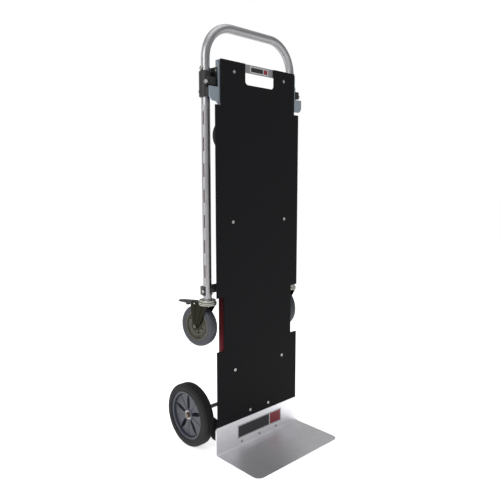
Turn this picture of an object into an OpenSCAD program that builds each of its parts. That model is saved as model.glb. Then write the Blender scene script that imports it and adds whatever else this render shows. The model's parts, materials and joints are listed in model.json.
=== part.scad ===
// Convertible hand truck: a two-wheel truck whose tube handle slides and folds,
// so that its two braked swivel casters turn it into a four-wheel platform truck.
// Millimetres. Z is up, the load face looks towards -Y, X = 0 is the middle, and
// the origin lies on the floor under the middle of the whole truck.
// "left" is the -X side.

/* [Deck panel] */
// Width of the deck panel
deck_w = 440; // [400:5:448]
// Thickness of the deck panel
deck_t = 5; // [4:0.5:7]
// Height of the top of the panel and rails
deck_top = 1475; // [1440:5:1500]
// Width of the narrow upper end of the panel
deck_step_w = 388; // [380:2:394]
// Height at which the panel narrows
deck_step_z = 1315; // [1280:5:1320]
// Width of the panel between the caster notches
notch_w = 368; // [340:2:374]
// Bottom of the caster notches
notch_bottom = 409; // [380:1:412]
// Top of the caster notches
notch_top = 615; // [612:1:660]
// Width of the hand hole
hand_hole_w = 152; // [110:2:170]
// Height of the bottom of the hand hole
hand_hole_z = 1400; // [1385:1:1410]

/* [Nose plate] */
// Width of the nose plate
nose_w = 457; // [380:1:520]
// Reach of the toe in front of the deck
nose_reach = 229; // [180:1:300]
// Thickness of the nose plate
nose_t = 5; // [4:0.5:8]
// Height of the upright flange
nose_h = 113; // [90:1:120]
// Radius of the toe's front corners
toe_corner_r = 28; // [10:1:50]

/* [Frame] */
// Width across the outer faces of the rails
frame_w = 374; // [370:1:376]
// Width of one rail
rail_w = 38; // [30:1:45]
// Depth of the rails, front to back
rail_d = 29; // [26:1:32]
// Wall of the rails and crossmembers
rail_wall = 3; // [2:0.5:4]
// Height of the upper and lower crossmembers
bar_h = 30; // [24:1:45]
// Height of the middle of the upper crossmember
upper_bar_z = 895; // [700:5:1100]
// Height of the middle of the lower crossmember
lower_bar_z = 322; // [250:2:500]

/* [Main wheels] */
// Diameter of the main wheels
wheel_d = 250; // [220:1:300]
// Width of the main tyres
wheel_w = 50; // [40:1:60]
// Width across the outer faces of the main tyres
track_w = 520; // [510:1:580]
// Diameter of the axle rod
axle_d = 16; // [12:0.5:20]
// Distance of the axle behind the load face
axle_back = 153; // [135:1:175]

/* [Handle] */
// Overall height, to the top of the handle
handle_top = 1617; // [1580:1:1700]
// Distance between the middles of the handle's legs
leg_spacing = 446.4; // [446:0.2:456]
// Outside diameter of the handle tube
tube_d = 31.75; // [28:0.25:33]
// Wall of the handle tube
tube_wall = 2.5; // [2:0.25:4]
// Radius of the handle's corners, at the middle of the tube
bend_r = 121; // [80:1:150]
// Height of the legs' lower ends
leg_bottom = 606; // [600:1:610]
// Distance of the legs' middle behind the load face
leg_back = 51.8; // [51:0.1:56]

/* [Pivot sleeves] */
// Height of the pivot
pivot_z = 1393; // [1385:1:1400]
// Outside radius of the sleeves
sleeve_r = 23.4; // [22.5:0.1:24]
// Height of a sleeve above the pivot
sleeve_up = 42; // [36:0.5:42]
// Length of a sleeve below the pivot
sleeve_down = 49; // [45:1:65]
// Distance of the latch pins from the pivot
latch_arm = 27.8; // [26:0.2:28.5]

/* [Casters] */
// Diameter of the caster wheels
caster_d = 160; // [120:1:161]
// Width of the caster wheels
caster_w = 36; // [28:1:37]
// Distance of a caster's axle behind its swivel
caster_trail = 43; // [42:0.5:48]
// Depth of a caster's axle below the legs' lower ends
caster_drop = 106; // [104:1:110]
// Angle at which the casters rest, turned outwards
caster_toe_out = 9.4; // [0:0.2:14]

/* [Hidden] */
$fn = 64;

LEFT = -1;
RIGHT = 1;
over = 1;                 // how far a cut runs past the face it opens
gap = 0.3;                // clearance between pieces that move past each other
run = 0.05;               // radial clearance of a running fit

// Front-to-back layout: the toe reaches as far forward of Y = 0 as the wheels reach back
wheel_r = wheel_d / 2;
axle_gap = max(axle_back, wheel_r + nose_t + 7);  // keeps the tyres behind the nose plate
deck_y = (nose_reach - axle_gap - wheel_r) / 2;
deck_back = deck_y + deck_t;
rail_back = deck_back + rail_d;
axle_y = deck_y + axle_gap;
leg_y = deck_y + leg_back;
leg_x = leg_spacing / 2;
rail_x = frame_w / 2;
rail_in = rail_x - rail_w;

// Nose plate
bend_in = 6;              // inside radius of the nose plate's bend
bend_out = bend_in + nose_t;
nose_top_r = 10;          // radius of the flange's upper corners
nose_bolt_z = bend_out + 9;
nose_bolt_pitch = 98;
deck_bottom = nose_h + 1.5;
foot_bottom = bend_out + 2;
foot_top = deck_bottom + 37;

// Screws and bolts: shank radius, head radius, head height
screw_r = 3;
screw_head_r = 6;
screw_head_h = 2;
bolt_r = 4;
bolt_head_r = 7;
bolt_head_h = 4;

// Deck screws, as distance from the middle and height
top_screw_z = deck_top - 37;
foot_screw_z = deck_bottom + 22;
DECK_SCREWS = [
    [131, top_screw_z], [139, upper_bar_z], [131, lower_bar_z], [51, foot_screw_z]
];

// Decals, and the rails' corners between which they lie
decal_t = 0.3;
decal_top = 1100;
rail_corner_r = 5;

// Top crossbar
grip_h = 31;              // height of the bar seen in the hand hole
ear_in = 110;             // where the crossbar's end ears begin
ear_h = 50;
plate_t = 4;

// Axle brackets and bolts
plate_out = rail_x + plate_t;
axle_boss_r = 18;
bracket_bolt_y = deck_back + 16;
BRACKET_BOLT_Z = [55, 98];
axle_r = axle_d / 2;

// Main wheels, from the inner to the outer face of the tyre
tyre_out = track_w / 2;
tyre_in = tyre_out - wheel_w;
rim_r = wheel_r - 29;
rim_t = 9;
hub_in = tyre_in + 3;
hub_out = tyre_out - 12;
hub_boss_r = 25;
bearing_r = 17;
bearing_w = 10;
SPOKES = 5;

// Pivot: the latch pin lies in front of the pivot when the handle stands upright
flat_in = 22.4;                   // from a leg's middle to its sleeve's inboard flat
sleeve_flat = leg_x - flat_in;
casting_out = sleeve_flat - gap;
pivot_r = 6;
tube_r = tube_d / 2;
latch_r = 4;
latch_y = leg_y - latch_arm;
flange_top = pivot_z - tube_r - 0.5;
flange_bottom = flange_top - 50;
lip_w = 16;               // width of the front flange beside the castings
flange_w = 56;
flange_back = deck_back + plate_t;
CASTING_BOLTS = [[-29.8, 44], [-31.8, -12]];  // from the pivot: back, up
housing_r = 9;
sleeve_end = leg_x + 15;          // outboard face of the latch housing
pocket_r = 6.5;
pocket_in = leg_x - 12;
pocket_out = leg_x + 10;
collar_w = 3;
knob_gap = 1;
knob_r = 7.5;
plunger_z = pivot_z - 26;
plunger_boss = leg_y + 25.5;
plunger_r = 7;

// Handle
leg_top = handle_top - tube_r - bend_r;
top_half = leg_x - bend_r;
strip_t = 0.3;
strip_bottom = leg_bottom + 60;
strip_top = pivot_z - sleeve_down - 28;
strip_angle = 46;
strip_lean = 18;           // how far the strips are turned from outboard to the front
stop_head_r = 8;
stop_z = pivot_z + sleeve_up + stop_head_r + 0.1;
brace_h = 33;
brace_z = leg_bottom + 16;
brace_t = 6;
saddle_r = tube_r + 4.3;
brace_bolt_z = brace_z + brace_h / 2;

// Casters: a fork turns on the kingpin of the mount in each leg's end
caster_r = caster_d / 2;
caster_z = leg_bottom - caster_drop;
mount_t = 9;
mount_r = 31;
kingpin_r = 6;
crown_r = 33;
crown_top = leg_bottom - mount_t - gap;
crown_t = 11;
fork_t = 3.5;
fork_in = caster_w / 2 + 2;
fork_out = fork_in + fork_t;
caster_axle_r = 5;
tread_t = 22;
pedal_pin_r = 3;
pedal_y = caster_trail + 3;
pedal_z = caster_z + caster_r + 8;

// ---------------------------------------------------------------- helpers

// Draws its children on the +X side, or mirrored to the -X side
module side(s) { mirror([s < 0 ? 1 : 0, 0, 0]) children(); }

module both_sides() {
    children();
    mirror([1, 0, 0]) children();
}

// A rectangle with round corners, from the origin
module round_rect(w, h, r) {
    translate([r, 0]) square([w - 2 * r, h]);
    translate([0, r]) square([w, h - 2 * r]);
    for (x = [r, w - r], y = [r, h - r]) translate([x, y]) circle(r = r);
}

// Extrudes an outline drawn in (Y, Z) from x0 to x1
module along_x(x0, x1) {
    translate([x0, 0, 0]) rotate([90, 0, 90]) linear_extrude(x1 - x0) children();
}

// Extrudes an outline drawn in (X, Z) from y0 to y1
module along_y(y0, y1) {
    translate([0, y1, 0]) rotate([90, 0, 0]) linear_extrude(y1 - y0) children();
}

module rod_x(r, x0, x1, y, z) {
    translate([x0, y, z]) rotate([0, 90, 0]) cylinder(r = r, h = x1 - x0);
}

module rod_y(r, y0, y1, x, z) {
    translate([x, y0, z]) rotate([-90, 0, 0]) cylinder(r = r, h = y1 - y0);
}

module box(x0, x1, y0, y1, z0, z1) {
    translate([x0, y0, z0]) cube([x1 - x0, y1 - y0, z1 - z0]);
}

// A bar of channel section between the rails, open to the back, for z0 to z1
module channel(z0, z1) {
    difference() {
        box(-rail_in, rail_in, deck_back, rail_back - 4, z0, z1);
        box(-rail_in - over, rail_in + over, deck_back + rail_wall, rail_back,
            z0 + rail_wall, z1 - rail_wall);
    }
}

// ---------------------------------------------------------------- frame

module rail(s) {
    color([0.66, 0.67, 0.69]) side(s) difference() {
        translate([rail_in, deck_back, foot_bottom])
            linear_extrude(deck_top - foot_bottom) difference() {
                round_rect(rail_w, rail_d, rail_corner_r);
                translate([rail_wall, rail_wall])
                    round_rect(rail_w - 2 * rail_wall, rail_d - 2 * rail_wall, 2);
            }
        for (z = BRACKET_BOLT_Z)
            rod_x(bolt_r, rail_x - 6, rail_x + over, bracket_bolt_y, z);
        for (b = CASTING_BOLTS)
            rod_x(bolt_r, rail_x - 6, rail_x + over, leg_y + b[0], pivot_z + b[1]);
    }
}

module top_crossbar() {
    color([0.70, 0.71, 0.73]) difference() {
        union() {
            along_y(deck_back, deck_back + plate_t) {
                translate([-rail_in, deck_top - grip_h]) square([2 * rail_in, grip_h]);
                for (x = [-rail_in, ear_in])
                    translate([x, deck_top - ear_h]) square([rail_in - ear_in, ear_h]);
            }
            box(-rail_in, rail_in, deck_back, rail_back - 4, deck_top - rail_wall, deck_top);
        }
        for (s = [LEFT, RIGHT])
            rod_y(screw_r, deck_y, rail_back, s * DECK_SCREWS[0][0], top_screw_z);
    }
}

module crossmember(z, screw_x) {
    color([0.62, 0.63, 0.65]) difference() {
        channel(z - bar_h / 2, z + bar_h / 2);
        for (s = [LEFT, RIGHT]) rod_y(screw_r, deck_y, rail_back, s * screw_x, z);
    }
}

module foot_crossmember() {
    color([0.62, 0.63, 0.65]) difference() {
        channel(foot_bottom, foot_top);
        for (s = [LEFT, RIGHT])
            rod_y(screw_r, deck_y, rail_back, s * DECK_SCREWS[3][0], foot_screw_z);
        for (i = [-1:1])
            rod_y(bolt_r, deck_y, rail_back, i * nose_bolt_pitch, nose_bolt_z);
    }
}

module deck_outline() {
    difference() {
        translate([-deck_w / 2, deck_bottom]) square([deck_w, deck_top - deck_bottom]);
        for (m = [0, 1]) mirror([m, 0]) {
            translate([deck_step_w / 2, deck_step_z]) square([deck_w, deck_top]);
            translate([notch_w / 2, notch_bottom]) square([deck_w, notch_top - notch_bottom]);
        }
        translate([-hand_hole_w / 2, hand_hole_z])
            round_rect(hand_hole_w, 2 * (deck_top - hand_hole_z), 14);
    }
}

module deck_panel() {
    color([0.11, 0.11, 0.12]) difference() {
        along_y(deck_y, deck_back) deck_outline();
        for (p = DECK_SCREWS, s = [LEFT, RIGHT]) {
            rod_y(screw_r, deck_y, deck_back + over, s * p[0], p[1]);
            rod_y(screw_head_r, deck_y - over, deck_y + screw_head_h, s * p[0], p[1]);
        }
    }
}

module deck_screws() {
    color([0.78, 0.78, 0.78]) for (p = DECK_SCREWS, s = [LEFT, RIGHT]) {
        rod_y(screw_r, deck_y + screw_head_h, deck_back + 6, s * p[0], p[1]);
        difference() {
            rod_y(screw_head_r, deck_y - 0.8, deck_y + screw_head_h, s * p[0], p[1]);
            translate([s * p[0], deck_y - 0.8 - over, p[1]]) rotate([-90, 0, 0])
                cylinder(r = 2.4, h = 1.6 + over, $fn = 6);
        }
    }
}

// Section of the bent plate in (Y, Z)
module nose_section() {
    translate([deck_y, bend_out]) square([nose_t, nose_h - bend_out]);
    translate([deck_y - nose_reach, 0]) square([nose_reach - bend_in, nose_t]);
    translate([deck_y - bend_in, bend_out]) intersection() {
        difference() {
            circle(r = bend_out);
            circle(r = bend_in);
        }
        translate([0, -bend_out]) square(bend_out);
    }
}

module nose_plate() {
    color([0.66, 0.66, 0.69]) difference() {
        intersection() {
            along_x(-nose_w / 2, nose_w / 2) nose_section();
            translate([-nose_w / 2, deck_y - nose_reach, -over])
                linear_extrude(nose_h + 2 * over)
                    round_rect(nose_w, nose_reach + nose_t + toe_corner_r, toe_corner_r);
            along_y(deck_y - nose_reach - over, deck_y + nose_t + over)
                translate([-nose_w / 2, -nose_h])
                    round_rect(nose_w, 2 * nose_h, nose_top_r);
        }
        for (i = [-1:1])
            rod_y(bolt_r, deck_y - over, deck_y + nose_t + over, i * nose_bolt_pitch,
                nose_bolt_z);
    }
}

module nose_bolts() {
    color([0.6, 0.6, 0.63]) for (i = [-1:1]) {
        rod_y(bolt_r, deck_y - 0.5, deck_back + 7, i * nose_bolt_pitch, nose_bolt_z);
        difference() {
            rod_y(5.5, deck_y - 2, deck_y, i * nose_bolt_pitch, nose_bolt_z);
            rod_y(2, deck_y - 2 - over, deck_y - 1, i * nose_bolt_pitch, nose_bolt_z);
        }
    }
}

module nose_decal() {
    color([0.12, 0.12, 0.13]) box(-120, 128, deck_y - decal_t, deck_y, nose_h - 78, nose_h - 22);
}

module grip_decal() {
    color([0.88, 0.88, 0.88])
        box(-48, 48, deck_back - decal_t, deck_back, deck_top - grip_h + 3, deck_top - 4);
}

module rail_decals() {
    color([0.45, 0.06, 0.08]) both_sides()
        box(rail_x, rail_x + decal_t, deck_back + rail_corner_r, rail_back - rail_corner_r,
            lower_bar_z, decal_top);
}

// Rubber rests behind the rails, which hold the truck off the floor when it lies down
module rest_bumpers() {
    bumper_r = 49;
    bumper_z = 1212;
    bumper_d = 26;
    color([0.07, 0.07, 0.07]) both_sides() intersection() {
        rod_x(bumper_r, rail_in + 1, rail_x - 1, rail_back + bumper_d - bumper_r, bumper_z);
        box(rail_in, rail_x, rail_back, rail_back + 2 * bumper_r, bumper_z - bumper_r,
            bumper_z + bumper_r);
    }
}

// ---------------------------------------------------------------- axle and wheels

module axle_bracket(s) {
    color([0.08, 0.08, 0.09]) side(s) difference() {
        along_x(rail_x, plate_out) union() {
            polygon([
                [deck_back + 3, 34], [deck_y + 70, 34], [axle_y + 13, wheel_r - 12.5],
                [axle_y, wheel_r + axle_boss_r], [deck_y + 40, 122], [deck_back + 3, 118]
            ]);
            translate([axle_y, wheel_r]) circle(r = axle_boss_r);
        }
        rod_x(axle_r, rail_x - over, plate_out + over, axle_y, wheel_r);
        for (z = BRACKET_BOLT_Z)
            rod_x(bolt_r, rail_x - over, plate_out + over, bracket_bolt_y, z);
    }
}

module axle_bracket_bolts() {
    color([0.55, 0.55, 0.57]) both_sides() for (z = BRACKET_BOLT_Z) {
        rod_x(bolt_r, rail_x - 6, plate_out, bracket_bolt_y, z);
        translate([plate_out, bracket_bolt_y, z]) rotate([0, 90, 0])
            cylinder(r = bolt_head_r, h = bolt_head_h, $fn = 6);
    }
}

module axle() {
    color([0.35, 0.35, 0.33]) rod_x(axle_r, -hub_out - 8, hub_out + 8, axle_y, wheel_r);
}

module axle_spacers() {
    color([0.5, 0.5, 0.5]) both_sides() difference() {
        rod_x(axle_r + 4, plate_out, hub_in - gap, axle_y, wheel_r);
        rod_x(axle_r, plate_out - over, hub_in, axle_y, wheel_r);
    }
}

module axle_nuts() {
    color([0.75, 0.75, 0.75]) both_sides() difference() {
        union() {
            rod_x(axle_r + 5, hub_out + gap, hub_out + 2, axle_y, wheel_r);
            translate([hub_out + 2, axle_y, wheel_r]) rotate([0, 90, 0])
                cylinder(r = axle_r + 4, h = 5, $fn = 6);
        }
        rod_x(axle_r, hub_out, hub_out + 7 + over, axle_y, wheel_r);
    }
}

// Places a wheel that is drawn about the Z axis, with its inner face at 0
module at_wheel(s) {
    side(s) translate([tyre_in, axle_y, wheel_r]) rotate([0, 90, 0]) children();
}

module tyre(s) {
    color([0.13, 0.13, 0.14]) at_wheel(s) rotate_extrude($fn = 96) difference() {
        intersection() {
            translate([rim_r - 20, 0]) round_rect(wheel_r - rim_r + 20, wheel_w, 13);
            translate([rim_r, 0]) square([wheel_r, wheel_w]);
        }
        for (y = [wheel_w / 2 - 9, wheel_w / 2, wheel_w / 2 + 9])
            translate([wheel_r - 2, y - 1]) square([4, 2]);
    }
}

module hub(s) {
    boss_in = hub_in - tyre_in;
    boss_out = hub_out - tyre_in;
    web_out = boss_out - 3;
    window_in = hub_boss_r + 5;
    window_out = rim_r - rim_t - 6;
    color([0.30, 0.31, 0.34]) at_wheel(s) difference() {
        union() {
            rotate_extrude($fn = 96) {
                translate([rim_r - rim_t, 4]) square([rim_t, wheel_w - 8]);
                translate([axle_r + 2, boss_in]) square([hub_boss_r - axle_r - 2,
                    boss_out - boss_in]);
                translate([hub_boss_r - 2, web_out - 7])
                    square([rim_r - rim_t - hub_boss_r + 4, 7]);
            }
            for (i = [0:SPOKES - 1]) rotate([0, 0, i * 360 / SPOKES])
                translate([hub_boss_r - 4, -5, web_out - 20])
                    cube([rim_r - rim_t - hub_boss_r + 8, 10, 21.5]);
        }
        for (i = [0:SPOKES - 1]) rotate([0, 0, (i + 0.5) * 360 / SPOKES])
            translate([0, 0, web_out - 5]) linear_extrude(5 + over)
                polygon([
                    [window_in, -4], [window_out - 20, -8], [window_out, 0],
                    [window_out - 20, 8], [window_in, 4]
                ]);
        translate([0, 0, boss_in - over]) cylinder(r = bearing_r, h = bearing_w + over);
        translate([0, 0, boss_out - bearing_w]) cylinder(r = bearing_r, h = bearing_w + over);
    }
}

module wheel_bearings(s) {
    color([0.8, 0.8, 0.8]) at_wheel(s) for (z = [hub_in, hub_out - bearing_w])
        translate([0, 0, z - tyre_in]) difference() {
            cylinder(r = bearing_r, h = bearing_w);
            translate([0, 0, -over]) cylinder(r = axle_r + run, h = bearing_w + 2 * over);
        }
}

// ---------------------------------------------------------------- pivot

// Angle plate on the rail: a flange beside the rail and one that looks forwards
module pivot_bracket(s) {
    corner_r = 22;
    color([0.58, 0.63, 0.68]) side(s) difference() {
        union() {
            box(rail_x, plate_out, deck_back, rail_back, flange_bottom, deck_top);
            box(rail_x, rail_x + lip_w, deck_back, flange_back, flange_bottom, deck_top - 6);
            along_y(deck_back, flange_back) difference() {
                translate([rail_x, flange_bottom]) square([flange_w, flange_top - flange_bottom]);
                translate([rail_x + flange_w - corner_r, flange_bottom]) difference() {
                    translate([0, -over]) square([corner_r + over, corner_r + over]);
                    translate([0, corner_r]) circle(r = corner_r);
                }
            }
        }
        for (b = CASTING_BOLTS)
            rod_x(bolt_r, rail_x - over, plate_out + over, leg_y + b[0], pivot_z + b[1]);
    }
}

module pivot_casting(s) {
    color([0.06, 0.06, 0.06]) side(s) difference() {
        along_x(plate_out, casting_out) hull() {
            translate([leg_y + CASTING_BOLTS[0][0], pivot_z + CASTING_BOLTS[0][1]])
                circle(r = 11, $fn = 32);
            translate([leg_y + 8, pivot_z + CASTING_BOLTS[0][1]]) circle(r = 11, $fn = 32);
            translate([leg_y, pivot_z - latch_arm]) circle(r = 9, $fn = 32);
            translate([leg_y + CASTING_BOLTS[1][0], pivot_z + CASTING_BOLTS[1][1]])
                circle(r = 8, $fn = 32);
        }
        rod_x(pivot_r, plate_out - over, casting_out + over, leg_y, pivot_z);
        rod_x(latch_r + gap, plate_out - over, casting_out + over, latch_y, pivot_z);
        rod_x(latch_r + gap, plate_out - over, casting_out + over, leg_y, pivot_z - latch_arm);
        for (b = CASTING_BOLTS) {
            rod_x(bolt_r, plate_out - over, casting_out, leg_y + b[0], pivot_z + b[1]);
            rod_x(6, casting_out - 3, casting_out + over, leg_y + b[0], pivot_z + b[1]);
        }
    }
}

module casting_bolts() {
    color([0.7, 0.7, 0.7]) both_sides() for (b = CASTING_BOLTS) {
        rod_x(bolt_r, rail_x - 6, casting_out - 3, leg_y + b[0], pivot_z + b[1]);
        difference() {
            rod_x(6, casting_out - 3, casting_out, leg_y + b[0], pivot_z + b[1]);
            translate([casting_out - 1.5, leg_y + b[0], pivot_z + b[1]]) rotate([0, 90, 0])
                cylinder(r = 3, h = 3, $fn = 6);
        }
    }
}

module pivot_pins() {
    color([0.6, 0.6, 0.6]) both_sides() {
        rod_x(pivot_r + 4, rail_x, plate_out, leg_y, pivot_z);
        rod_x(pivot_r, plate_out, leg_x - tube_r - 0.5, leg_y, pivot_z);
    }
}

// ---------------------------------------------------------------- sleeves and latches

module sleeve(s) {
    chamfer = 3;
    color([0.05, 0.05, 0.05]) side(s) difference() {
        union() {
            translate([leg_x, leg_y, pivot_z]) rotate_extrude() polygon([
                [0, -sleeve_down], [sleeve_r - 2, -sleeve_down], [sleeve_r, 2 - sleeve_down],
                [sleeve_r, sleeve_up - chamfer], [sleeve_r - chamfer, sleeve_up],
                [0, sleeve_up]
            ]);
            box(sleeve_flat, sleeve_end, latch_y - housing_r, leg_y - 10,
                pivot_z - housing_r - 1, pivot_z + 2 * housing_r);
            box(leg_x - 16, leg_x + 18, flange_back + 0.05, leg_y - 10,
                pivot_z - sleeve_down, flange_top - 3);
            rod_y(housing_r, leg_y + 10, plunger_boss, leg_x, plunger_z);
        }
        box(leg_x - 2 * sleeve_r, sleeve_flat, leg_y - 60, leg_y + 60,
            pivot_z - sleeve_down - over, pivot_z + sleeve_up + over);
        translate([leg_x, leg_y, pivot_z - sleeve_down - over])
            cylinder(r = tube_r + run, h = sleeve_down + sleeve_up + 2 * over);
        rod_x(pivot_r + run, sleeve_flat - over, leg_x - tube_r + 2, leg_y, pivot_z);
        rod_x(latch_r + run, sleeve_flat - over, sleeve_end + over, latch_y, pivot_z);
        rod_x(pocket_r, pocket_in, pocket_out, latch_y, pivot_z);
        rod_y(latch_r + run, leg_y + 10, plunger_boss + over, leg_x, plunger_z);
    }
}

module latch_pin(s) {
    color([0.82, 0.82, 0.8]) side(s) {
        rod_x(latch_r, sleeve_flat + 0.4, sleeve_end + knob_gap, latch_y, pivot_z);
        rod_x(pocket_r - gap, pocket_in + 1, pocket_in + 1 + collar_w, latch_y, pivot_z);
        translate([sleeve_end + knob_gap, latch_y, pivot_z]) rotate([0, 90, 0])
            rotate_extrude() difference() {
                translate([-knob_r, 0]) round_rect(2 * knob_r, 8, 2);
                translate([-2 * knob_r, -over]) square([2 * knob_r, 8 + 2 * over]);
            }
    }
}

// A coil spring along +X from x0 to x1, swept as rings of points
module coil(x0, x1, r, wire_r, turns) {
    ring = 6;
    steps = turns * 18;
    points = [for (i = [0:steps]) let (a = i * 360 * turns / steps)
        for (j = [0:ring - 1]) let (b = j * 360 / ring, q = r + wire_r * cos(b))
            [x0 + (x1 - x0) * i / steps + wire_r * sin(b), q * cos(a), q * sin(a)]];
    sides = [for (i = [0:steps - 1], j = [0:ring - 1]) let (k = (j + 1) % ring)
        [i * ring + j, i * ring + k, (i + 1) * ring + k, (i + 1) * ring + j]];
    ends = [[for (j = [ring - 1:-1:0]) j], [for (j = [0:ring - 1]) steps * ring + j]];
    polyhedron(points, concat(sides, ends), convexity = 10);
}

module latch_springs() {
    color([0.6, 0.6, 0.6]) both_sides() translate([0, latch_y, pivot_z])
        coil(pocket_in + 2 + collar_w, pocket_out - 1, latch_r + 1.2, 0.6, 7);
}

module tube_plunger(s) {
    color([0.1, 0.1, 0.1]) side(s) {
        rod_y(latch_r, leg_y + tube_r + gap, plunger_boss + knob_gap, leg_x, plunger_z);
        translate([leg_x, plunger_boss + knob_gap, plunger_z]) rotate([-90, 0, 0])
            rotate_extrude() difference() {
                translate([-plunger_r, 0]) round_rect(2 * plunger_r, 7, 2);
                translate([-2 * plunger_r, -over]) square([2 * plunger_r, 7 + 2 * over]);
            }
    }
}

// ---------------------------------------------------------------- handle

// Draws its children, and again half a turn round the handle's upright middle line;
// $lean is the turn about Z that leans a leg's strip towards the front
module both_legs() {
    let ($lean = -strip_lean) children();
    translate([0, 2 * leg_y, 0]) rotate([0, 0, 180]) let ($lean = strip_lean) children();
}

// Half of the handle's U, as a solid bar of radius r whose leg starts at z0
module handle_half(r, z0, past) {
    translate([leg_x, leg_y, z0]) cylinder(r = r, h = leg_top - z0);
    translate([top_half, leg_y, leg_top]) rotate([90, 0, 0])
        rotate_extrude(angle = 90) translate([bend_r, 0]) circle(r = r);
    rod_x(r, -past, top_half, leg_y, leg_top + bend_r);
}

// A curved strip on the outboard side of a leg, between two radii
module strip(r0, r1) {
    translate([leg_x, leg_y, strip_bottom]) rotate([0, 0, $lean - strip_angle / 2])
        rotate_extrude(angle = strip_angle)
            translate([r0, 0]) square([r1 - r0, strip_top - strip_bottom]);
}

module handle_tube() {
    color([0.66, 0.66, 0.68]) both_legs() difference() {
        handle_half(tube_r, leg_bottom, 0);
        handle_half(tube_r - tube_wall, leg_bottom - over, over);
        strip(tube_r - strip_t, tube_r + over);
        rod_x(bolt_r, leg_x - 2 * tube_r, leg_x + 2 * tube_r, leg_y, stop_z);
        rod_x(bolt_r, leg_x - 2 * tube_r, leg_x + 2 * tube_r, leg_y, brace_bolt_z);
    }
}

module leg_strips() {
    color([0.80, 0.80, 0.82]) both_legs() strip(tube_r - strip_t, tube_r);
}

module stop_bolts() {
    color([0.35, 0.35, 0.37]) both_sides() {
        rod_x(bolt_r, leg_x - tube_r - 3, leg_x + tube_r + 4, leg_y, stop_z);
        difference() {
            rod_x(stop_head_r, leg_x + tube_r, leg_x + tube_r + 5, leg_y, stop_z);
            translate([leg_x, leg_y, stop_z - 20]) cylinder(r = tube_r, h = 40);
        }
        difference() {
            rod_x(stop_head_r - 1, leg_x - tube_r - 4, leg_x - tube_r, leg_y, stop_z);
            translate([leg_x, leg_y, stop_z - 20]) cylinder(r = tube_r, h = 40);
        }
    }
}

module brace_bar() {
    color([0.45, 0.45, 0.47]) translate([-leg_x - 14, leg_y + saddle_r, brace_z])
        cube([2 * leg_x + 28, brace_t, brace_h]);
}

module brace_saddles() {
    color([0.06, 0.06, 0.07]) both_sides() difference() {
        union() {
            translate([leg_x, leg_y, brace_z]) cylinder(r = saddle_r, h = brace_h);
            box(leg_x - 14, leg_x + 14, leg_y + 8, leg_y + saddle_r, brace_z,
                brace_z + brace_h);
        }
        translate([leg_x, leg_y, brace_z - over]) cylinder(r = tube_r, h = brace_h + 2 * over);
        box(leg_x - 30, leg_x + 30, leg_y - 30, leg_y - 7, brace_z - over,
            brace_z + brace_h + over);
        rod_x(bolt_r, leg_x - 2 * saddle_r, leg_x + 2 * saddle_r, leg_y, brace_bolt_z);
        for (s = [LEFT, RIGHT]) rod_x(bolt_head_r + 1, leg_x + s * (saddle_r - 1) - 1.5,
            leg_x + s * (saddle_r - 1) + 1.5, leg_y, brace_bolt_z);
    }
}

module brace_bolts() {
    seat = saddle_r - 2.5;
    color([0.8, 0.8, 0.8]) both_sides() {
        rod_x(bolt_r, leg_x - seat, leg_x + seat, leg_y, brace_bolt_z);
        for (x = [leg_x + seat, leg_x - seat - 5]) translate([x, leg_y, brace_bolt_z])
            rotate([0, 90, 0]) cylinder(r = bolt_head_r, h = 5, $fn = 6);
    }
}

// ---------------------------------------------------------------- casters

// The plug in a leg's end, its flange and the kingpin that the fork turns on
module caster_mount(s) {
    plug_h = 44;
    color([0.66, 0.66, 0.64]) side(s) difference() {
        translate([leg_x, leg_y, 0]) union() {
            translate([0, 0, leg_bottom]) cylinder(r = tube_r - tube_wall, h = plug_h);
            translate([0, 0, leg_bottom - mount_t]) rotate_extrude() difference() {
                translate([-mount_r, 0]) round_rect(2 * mount_r, mount_t, 3);
                translate([-2 * mount_r, -over]) square([2 * mount_r, mount_t + 2 * over]);
            }
            translate([0, 0, crown_top - crown_t - 3])
                cylinder(r = kingpin_r, h = mount_t + crown_t);
            translate([0, 0, crown_top - crown_t - 8]) cylinder(r = 9, h = 8 - gap);
        }
        rod_x(bolt_r, leg_x - 2 * tube_r, leg_x + 2 * tube_r, leg_y, brace_bolt_z);
    }
}

// Places a caster that is drawn about its swivel, with its wheel behind it
module at_caster(s) {
    side(s) translate([leg_x, leg_y, 0]) rotate([0, 0, -caster_toe_out]) children();
}

// Outline of one side of the fork in (Y, Z)
module fork_side() {
    axle_boss = 15;
    polygon([
        [-22, crown_top - crown_t], [-24, crown_top], [58, crown_top],
        [66, pedal_z - 6], [64, pedal_z - 30], [caster_trail + axle_boss, caster_z + 10],
        [caster_trail + axle_boss * cos(20), caster_z - axle_boss * sin(20)],
        [caster_trail - axle_boss, caster_z], [-2, crown_top - crown_t - 30]
    ]);
    translate([caster_trail, caster_z]) circle(r = axle_boss);
}

module caster_fork(s) {
    color([0.36, 0.36, 0.31]) at_caster(s) difference() {
        union() {
            translate([0, 0, crown_top - crown_t]) cylinder(r = crown_r, h = crown_t);
            box(-fork_out, fork_out, 0, pedal_y - 8, crown_top - 5, crown_top);
            for (m = [0, 1]) mirror([m, 0, 0]) along_x(fork_in, fork_out) fork_side();
        }
        translate([0, 0, crown_top - crown_t - over])
            cylinder(r = kingpin_r + run, h = crown_t + 2 * over);
        rod_x(caster_axle_r, -fork_out - over, fork_out + over, caster_trail, caster_z);
        rod_x(pedal_pin_r, -fork_out - over, fork_out + over, pedal_y, pedal_z);
    }
}

module caster_axle(s) {
    color([0.7, 0.7, 0.68]) at_caster(s) {
        rod_x(caster_axle_r, -fork_out, fork_out, caster_trail, caster_z);
        for (x = [-fork_out - 5, fork_out]) translate([x, caster_trail, caster_z])
            rotate([0, 90, 0]) cylinder(r = 8, h = 5, $fn = 6);
    }
}

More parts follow.
